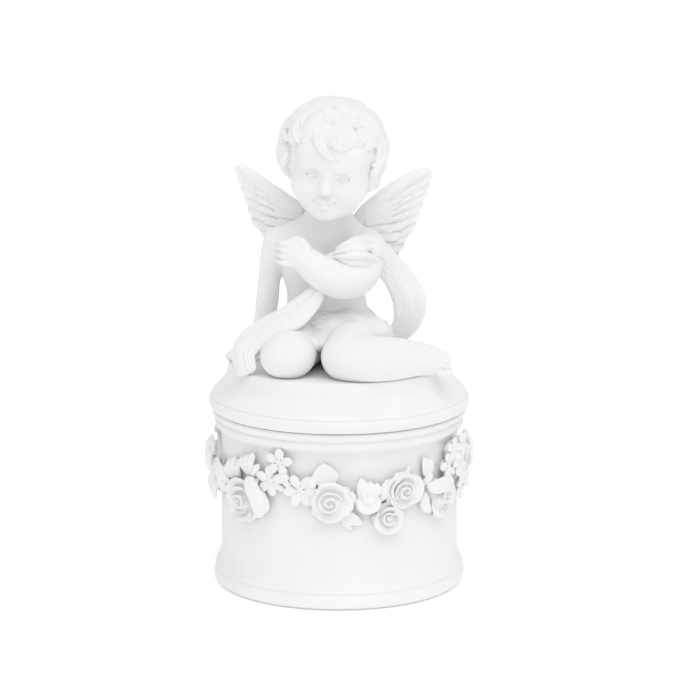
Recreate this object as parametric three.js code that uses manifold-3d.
// A round cast-resin trinket box with a lift-off lid, a seated cherub on the lid
// and a flower garland round the wall.
// Millimetres, +Z up, the front faces -Y. The origin is the centre of the underside, where the
// felt pad rests.
// Every ornament, limb, wing and sash is its own casting, glued on with a thin joint.
import * as THREE from "three";
import { mergeVertices } from "three/addons/utils/BufferGeometryUtils.js";
import Module from "manifold-3d";

const wasm = await Module();
wasm.setup();

// ---------------------------------------------------------------- driving dimensions
const WALL_R = 41.2; // plain outside wall of the box
const CAVITY_R = 37; // inside of the box
const FOOT_R = 43.8; // widest part of the foot moulding
const RIM_R = 44.1; // widest part of the rim band
const BOX_TOP = 62; // top face of the rim
const FLOOR_TOP = 5.2; // inside floor
const FELT_R = 38;
const FELT_T = 1.2;
const FELT_PROUD = 0.4; // how far the felt holds the foot off the table
const SEAM = 0.4; // shadow gap between rim and lid
const LID_R = 45.3;
const SEAT_R = 38.2; // flat top of the lid, where the figure sits
const LID_H = 15.9;
const RING_R = 36.6; // locating ring, a loose fit in the cavity
const RING_INNER_R = 33;
const RING_H = 4;
const LID_CEILING = 9.5; // hollow under the lid, above its lower face
const GLUE = 0.3; // joint between castings
const TURNS = 48; // facets round the box and lid

const LID_BOTTOM = BOX_TOP + SEAM;
const SEAT_Z = LID_BOTTOM + LID_H;

// ---------------------------------------------------------------- materials
const resin = new THREE.MeshStandardMaterial({ color: 0xf1f0ee, roughness: 0.72, metalness: 0 });
const felt = new THREE.MeshStandardMaterial({ color: 0xe6e2da, roughness: 0.95, metalness: 0 });

// ---------------------------------------------------------------- solids and booleans
const vec = (p) => new THREE.Vector3(...p);

function solidOf(geometry) {
  const bare = geometry.index ? geometry.toNonIndexed() : geometry.clone();
  bare.deleteAttribute("normal");
  bare.deleteAttribute("uv");
  const merged = mergeVertices(bare, 1e-4);
  return new wasm.Manifold(
    new wasm.Mesh({
      numProp: 3,
      vertProperties: merged.attributes.position.array,
      triVerts: new Uint32Array(merged.index.array),
    }),
  );
}

const join = (solids) => solids.reduce((a, b) => a.add(b));
const cut = (solid, tools) => tools.reduce((a, b) => a.subtract(b), solid);
const biggest = (solid) => solid.decompose().reduce((a, b) => (b.volume() > a.volume() ? b : a));

function meshOf(name, solid, material = resin) {
  const { vertProperties, triVerts } = biggest(solid).getMesh();
  const geometry = new THREE.BufferGeometry();
  geometry.setAttribute("position", new THREE.BufferAttribute(vertProperties, 3));
  geometry.setIndex(new THREE.BufferAttribute(triVerts, 1));
  geometry.computeVertexNormals();
  const mesh = new THREE.Mesh(geometry, material);
  mesh.name = name;
  return mesh;
}

// A solid turned about Z from [radius, height] points, listed upwards on the outside and back
// down on the axis.
function turned(points, segments = TURNS) {
  const lathe = new THREE.LatheGeometry(points.map(([r, z]) => new THREE.Vector2(r, z)), segments);
  return solidOf(lathe.rotateX(Math.PI / 2));
}

const disc = (r, low, high) => turned([[0, low], [r, low], [r, high], [0, high]]);

// A flat outline of [x, y] points, raised along Z.
function raised(outline, depth) {
  const shape = new THREE.Shape(outline.map(([x, y]) => new THREE.Vector2(x, y)));
  return new THREE.ExtrudeGeometry(shape, { depth, bevelEnabled: false, curveSegments: 1 });
}

// ---------------------------------------------------------------- modelling clay: eggs and limbs
// Each piece of clay is a function of grow, so that a neighbour can be cut back by the glue joint.
const egg = (centre, radii, sides = 12) => (grow) => {
  const ball = new THREE.SphereGeometry(1, sides, (sides * 2) / 3).rotateX(Math.PI / 2);
  ball.scale(...radii.map((r) => r + grow));
  return solidOf(ball.translate(...centre));
};

const limb = (from, fromR, to, toR) => (grow) => {
  const length = vec(to).distanceTo(vec(from));
  const profile = [];
  for (const [r, at, start] of [[fromR, 0, -90], [toR, length, 0]]) {
    for (const a of [0, 45, 90]) {
      const angle = THREE.MathUtils.degToRad(start + a);
      const radius = (r + grow) * Math.max(Math.cos(angle), 0);
      profile.push(new THREE.Vector2(radius, at + (r + grow) * Math.sin(angle)));
    }
  }
  profile[0].x = 0;
  profile.at(-1).x = 0;
  const along = vec(to).sub(vec(from)).normalize();
  const turn = new THREE.Quaternion().setFromUnitVectors(new THREE.Vector3(0, 1, 0), along);
  return solidOf(new THREE.LatheGeometry(profile, 10).applyQuaternion(turn).translate(...from));
};

// A chain of [x, y, z, radius] stations.
const chain = (stations) => (grow) =>
  join(stations.slice(1).map((b, i) => limb(stations[i].slice(0, 3), stations[i][3], b.slice(0, 3), b[3])(grow)));

const clump = (parts) => (grow) => join(parts.map((part) => part(grow)));

// ---------------------------------------------------------------- box
function boxBody() {
  const foot = [
    [FELT_R + 0.4, FELT_PROUD], [FOOT_R - 1.8, FELT_PROUD], [FOOT_R - 0.5, 1.4], [FOOT_R, 3],
    [FOOT_R - 0.5, 5], [FOOT_R - 0.9, 5.7], [FOOT_R - 0.6, 6.6], [FOOT_R - 1.7, 9.3],
    [WALL_R + 0.1, 12], [WALL_R, 14],
  ];
  const rim = [
    [WALL_R, 54.8], [RIM_R - 1.4, 55.6], [RIM_R - 0.8, 57.2], [RIM_R - 1.2, 58.7], [RIM_R - 1.2, 59.2],
    [RIM_R, 60], [RIM_R, BOX_TOP - 0.5], [RIM_R - 0.5, BOX_TOP],
  ];
  const inside = [
    [CAVITY_R + 0.5, BOX_TOP], [CAVITY_R, BOX_TOP - 0.5], [CAVITY_R, FLOOR_TOP + 1.5],
    [CAVITY_R - 1.5, FLOOR_TOP],
  ];
  return turned([[0, FELT_T], [FELT_R + 0.4, FELT_T], ...foot, ...rim, ...inside, [0, FLOOR_TOP]]);
}

// ---------------------------------------------------------------- lid
function lidPlate() {
  const at = (r, up) => [r, LID_BOTTOM + up];
  const ring = [
    at(RING_INNER_R, -RING_H), at(RING_R - 0.6, -RING_H), at(RING_R, 0.6 - RING_H), at(RING_R, 0),
  ];
  const edge = [
    at(LID_R - 1.1, 0), at(LID_R - 0.3, 0.8), at(LID_R, 2.4), at(LID_R - 0.4, 4), at(LID_R - 0.9, 4.7),
    at(43, 6.6), at(40.9, 8.8), at(39.3, 11.6), at(38.6, 14.2), at(SEAT_R, 15.5), at(SEAT_R - 0.6, LID_H),
  ];
  const hollow = [at(0, LID_CEILING), at(RING_INNER_R - 4, LID_CEILING), at(RING_INNER_R, LID_CEILING - 4)];
  return turned([...hollow, ...ring, ...edge, at(0, LID_H)]);
}

// ---------------------------------------------------------------- the cherub
// It has its own frame, with Z = 0 on the seat.
const torso = clump([
  egg([-3.5, 5.4, 9.4], [13.6, 12.6, 9.8]),
  egg([-3.6, 1, 20], [13.2, 10.8, 11.5]),
  egg([-4.4, 1.5, 34.5], [15, 9.6, 11.5]),
  limb([-16.5, 1.5, 40], 6, [8, 1.5, 40], 6),
]);
const neck = limb([-4.2, 0.5, 45], 6.5, [-3.6, -0.5, 54], 6.2);
const face = clump([
  egg([-3, -1.6, 67], [15, 15, 16.4]),
  egg([-9.4, -9.6, 62], [6, 5.6, 6]),
  egg([2.2, -9.6, 61.4], [6, 5.6, 6]),
  egg([-3.8, -13, 54.6], [4.4, 4, 3.6]),
  egg([-3.8, -16.6, 63.4], [2, 2.4, 2.3]),
  egg([-3.8, -15.4, 58.4], [2.9, 2, 1.5]),
]);
const CURLS = [
  [[-17.4, -2, 73], 5], [[-16, 1, 65], 4.8], [[-14.6, -1, 80.4], 5.4], [[-9, -8, 85], 6],
  [[11.4, -2, 78], 6.4], [[11.4, 0, 70], 6.4], [[9.6, 3, 63], 5.6], [[8, -7.6, 84], 5.4],
  [[3.6, -13, 80], 6], [[-6.6, -12.6, 81.4], 5.4], [[-12, 13, 67], 6], [[6, 13.6, 65.6], 6.4],
  [[-12, 11, 80], 7], [[7, 12.6, 79], 7.4], [[-3, 14.6, 73], 7], [[-3, 11.6, 60.6], 6],
];
const hair = clump([
  egg([-2.2, 2.8, 73.6], [17.4, 16.6, 17]),
  egg([0.6, -1, 85], [10, 10, 7.4]),
  ...CURLS.map(([centre, r]) => egg(centre, [r, r, r * 1.1], 9)),
]);
const supportingArm = chain([
  [-20.6, 1.6, 40.6, 5.2], [-23.4, 2, 33.6, 3.7], [-24.8, 2.3, 21, 3.4], [-28.2, 0.4, 7.4, 2.7],
]);
const FINGER_TIPS = [[-36.6, -4.8], [-38.4, -3], [-38.6, -1.2], [-37.6, 0.6]];
const supportingHand = clump([
  egg([-31.6, -1.2, 3.4], [4.4, 3.7, 2.5]),
  ...FINGER_TIPS.map(([x, y]) => limb([-32.8, y * 0.7, 3.2], 1.3, [x, y, 1.7], 1.1)),
]);
const foldedArm = clump([
  chain([[10.4, 0.5, 39.8, 5.4], [8.2, -8.4, 31.4, 6], [-2, -15.4, 31.8, 6.2], [-11.8, -15, 38.8, 4.4]]),
  egg([-15.2, -14.2, 41.4], [4.3, 3, 4.7]),
]);
const fingers = clump(
  [37.8, 39.9, 42, 44].map((z) => limb([-16.4, -15, z], 1.3, [-20.8, -11.6, z + 0.2], 1.1)),
);
const kneelingLeg = clump([
  limb([-9, 5, 8.8], 9.2, [-17.3, -25.6, 7.4], 8.4),
  limb([-18, -24, 5.4], 6, [-18.4, 10, 4.8], 4.6),
  limb([-18.4, 10, 4.8], 4.4, [-15.8, 21, 3.4], 3.2),
]);
const foldedLeg = clump([
  limb([6, 5, 9], 9.4, [3.2, -28.4, 7.6], 8.7),
  chain([[5, -31, 7.2, 7.7], [14, -30.6, 7.1, 7.5], [25.4, -24.6, 6.1, 5.4], [32.6, -21.6, 4.9, 4.8]]),
]);
const TOES = [[37.2, 0.6, 1.7], [37.6, 2.8, 1.3], [37.3, 4.5, 1.2], [36.7, 6, 1.1],
[35.9, 7.3, 1]]; // x, z, r
const toes = clump(TOES.map(([x, z, r]) => limb([34, -21.4, z], r, [x, -20.4, z], r)));
const SHOULDER_SASH = [
  [-3.4, -14.6, 38.8, 2.2], [3, -13, 41.4, 3.4], [9.6, -8.4, 42.2, 4.2], [15, -1.2, 38.6, 4.6],
];
const HANGING_SASH = [
  [18.6, 0.8, 32.8, 4.8], [23.8, 1.2, 25.6, 5.4], [25.4, 0.8, 18.4, 5.6], [22.8, 1, 11.6, 5],
];
const FRONT_SASH = [
  [-7.4, -15.6, 28, 2.6], [-10, -18, 24.8, 4.2], [-15.6, -19, 20, 4.9], [-23.4, -18.8, 15.4, 4.9],
  [-29.6, -18.8, 11, 4.7], [-32, -21.6, 4.4, 3.8],
];
const LAP_CLOTH = [[-8.6, -14, 12, 6.2], [0, -12.4, 12.6, 6.8], [8.6, -7, 11.8, 7.4], [13.6, 2, 9, 7]];

// ---------------------------------------------------------------- wings
// Feathers fan out from a short arm. Their tips are listed from the topmost feather to the lowest,
// in the wing's own plane, with the root of the arm at the origin.
const FEATHER_TIPS = [
  [27, 23.6], [26.6, 18.8], [25.4, 14], [24, 9.6], [22, 5.4], [19.8, 1.4], [17.6, -3], [16, -8.2],
];
const FEATHER_W = 5.4;
const COVERT_REACH = 0.66; // how far the short top feathers reach along the long ones

function feather([x, y], index, reach, thickness, lift) {
  const root = [-0.4 * index, 1 - 1.7 * index];
  const length = Math.hypot(x - root[0], y - root[1]) * reach;
  const w = FEATHER_W / 2;
  const lower = [[0, -w], [length - w, -w], [length - 0.3 * w, -0.7 * w]];
  const upper = [[length - 0.3 * w, 0.7 * w], [length - w, w], [0, w]];
  const outline = [...lower, [length, 0], ...upper];
  const angle = Math.atan2(y - root[1], x - root[0]);
  return solidOf(raised(outline, thickness).rotateZ(angle).translate(...root, lift));
}

// side is +1 for the wing at +X. sweep turns the wing back from the shoulders, in degrees.
function wing(side, root, sweep) {
  const arm = limb([-1, -4, 0], 4.2, [13, 10.6, 0], 2.6)(0).scale([1, 1, 0.6]);
  const fan = FEATHER_TIPS.map((tip, i) => feather(tip, i, 1, 1.8, 0));
  const coverts = FEATHER_TIPS.map((tip, i) => feather(tip, i, COVERT_REACH, 1.4, -1.2));
  const place = new THREE.Matrix4()
    .makeTranslation(...root)
    .multiply(new THREE.Matrix4().makeRotationZ(THREE.MathUtils.degToRad(side > 0 ? sweep : 180 - sweep)))
    .multiply(new THREE.Matrix4().makeRotationX(Math.PI / 2))
    .multiply(new THREE.Matrix4().makeScale(1, 1, side > 0 ? -1 : 1));
  return join([arm, ...fan, ...coverts]).transform(place.elements);
}

// ---------------------------------------------------------------- garland
// [name, kind, azimuth from the front towards +X, height, radius, angle of a leaf's tip above +X]
const GARLAND = [
  ["rose_1", "rose", -45.5, 36.8, 7.6], ["rose_2", "rose", -4, 39.2, 6.8],
  ["rose_3", "rose", 30.2, 41.4, 6.2],
  ["rose_4", "rose", 51.4, 37.6, 7], ["rose_5", "rose", -86, 46.4, 6.2], ["rose_6", "rose", 67, 49.4, 5.4],
  ["rosette_1", "rose", 21.8, 32.2, 5], ["pansy_1", "pansy", 13.8, 40.2, 4.8],
  ["daisy_1", "daisy", -29.6, 50.4, 4.6], ["daisy_2", "daisy", -33.6, 42.4, 4.6],
  ["daisy_3", "daisy", -18.4, 42, 5.2], ["daisy_4", "daisy", 59.4, 45.6, 4],
  ["daisy_5", "daisy", 74.4, 39.6, 5], ["daisy_6", "daisy", -78.6, 36.6, 5],
  ["leaf_1", "leaf", -8, 48, 5, 100], ["leaf_2", "leaf", 6.4, 31.8, 5, -50],
  ["leaf_3", "leaf", 44.6, 49.6, 6, 80], ["leaf_4", "leaf", -46.6, 48.4, 5.8, 78],
  ["leaf_5", "leaf", -57, 46.6, 5.6, 110], ["leaf_6", "leaf", -60, 30.4, 5.4, -140],
  ["leaf_7", "leaf", -68, 42.6, 6, 150],
];

const ringOutline = (count, radiusAt) =>
  Array.from({ length: count }, (_, i) => {
    const angle = (2 * Math.PI * i) / count;
    const r = radiusAt(angle);
    return [r * Math.cos(angle), r * Math.sin(angle)];
  });

function petalled(petals, r, depth, bite) {
  const edge = (angle) => r * (1 - bite * Math.abs(Math.cos((petals * angle) / 2)) ** 3);
  return solidOf(raised(ringOutline(petals * 4, edge), depth));
}

// Each ornament stands on Z = 0 with its face towards +Z, before it is stood against the wall.
const BACKING = 2; // how far an ornament starts inside the wall, before its back is cut to the curve
const ornaments = {
  rose: (r) =>
    join([
      petalled(5, r, BACKING + 2.4, 0.2),
      petalled(5, r * 0.78, BACKING + 4.2, 0.16).rotate([0, 0, 36]),
      petalled(4, r * 0.46, BACKING + 5.8, 0.14),
    ]),
  pansy: (r) => join([petalled(5, r, BACKING + 2.4, 0.24), petalled(6, r * 0.36, BACKING + 3.4, 0)]),
  daisy: (r) => join([petalled(6, r, BACKING + 2.2, 0.5), petalled(6, r * 0.34, BACKING + 3.2, 0)]),
  leaf: (r) => {
    const outline = [[-1, 0], [-0.5, -0.42], [0.1, -0.44], [1, 0], [0.1, 0.44], [-0.5, 0.42]];
    return solidOf(raised(outline.map(([x, y]) => [r * x, r * y]), BACKING + 1.8));
  },
};
const ornamentDepth = 12;

// Stands a solid against the wall at an azimuth and height, its face pointing out.
function onWall(solid, azimuth, height, spin = 0) {
  return solid
    .rotate([0, 0, spin])
    .rotate([90, 0, 0])
    .translate([0, BACKING - WALL_R, height])
    .rotate([0, 0, azimuth]);
}

function garland() {
  const wall = disc(WALL_R + GLUE, 0, BOX_TOP);
  const rimEnvelope = disc(RIM_R + GLUE, 54.5, BOX_TOP);
  const taken = []; // the room that each placed ornament keeps for itself
  const meshes = [];
  for (const half of [0, 1]) {
    for (const [name, kind, azimuth, height, r, tip = 0] of GARLAND) {
      const turn = azimuth + 180 * half;
      const blank = onWall(ornaments[kind](r), turn, height, tip);
      const near = taken.filter((t) => Math.abs(((t.turn - turn + 540) % 360) - 180) < 30);
      const piece = cut(blank, [wall, rimEnvelope, ...near.map((t) => t.room)]);
      meshes.push(meshOf(half ? `back_${name}` : `front_${name}`, piece));
      const room = kind === "leaf" ? raisedRoom(r * 0.5) : raisedRoom(r + GLUE);
      taken.push({ turn, room: onWall(room, turn, height) });
    }
  }
  return meshes;
}

const raisedRoom = (r) => solidOf(raised(ringOutline(16, () => r), ornamentDepth));

// ---------------------------------------------------------------- assembly
const box = new THREE.Group();
box.add(meshOf("box_body", boxBody()), meshOf("base_felt", disc(FELT_R, 0, FELT_T), felt), ...garland());

// Each casting of the figure is cut back by the ones before it, and stands clear of the seat.
function figure() {
  const wings = [
    ["wing_right", wing(-1, [-9, 11.6, 43.2], 15)],
    ["wing_left", wing(1, [5.2, 11.6, 41.2], 15)],
  ];
  const castings = [
    ["torso", torso], ["head", clump([face, neck])], ["hair", hair],
    ["supporting_arm", clump([supportingArm, supportingHand])],
    ["folded_arm", clump([foldedArm, fingers])],
    ["kneeling_leg", kneelingLeg], ["folded_leg", clump([foldedLeg, toes])],
    ["sash_shoulder", chain(SHOULDER_SASH)], ["sash_hanging", chain(HANGING_SASH)],
    ["sash_front", chain(FRONT_SASH)], ["lap_cloth", chain(LAP_CLOTH)],
  ];
  const seat = turned([[0, -6], [60, -6], [60, GLUE], [0, GLUE]], 8);
  const placed = castings.map(([name, clay], i) => [
    name,
    cut(clay(0), [seat, ...castings.slice(0, i).map(([, before]) => before(GLUE))]),
  ]);
  const solidWings = wings.map(([name, solid]) => [name, cut(solid, castings.map(([, clay]) => clay(GLUE)))]);
  return [...placed, ...solidWings].map(([name, solid]) => meshOf(name, solid.translate([0, 0, SEAT_Z])));
}

const lid = new THREE.Group();
lid.add(meshOf("lid_plate", lidPlate()), ...figure());

const trinketBox = new THREE.Group();
trinketBox.add(box, lid);
export default trinketBox;
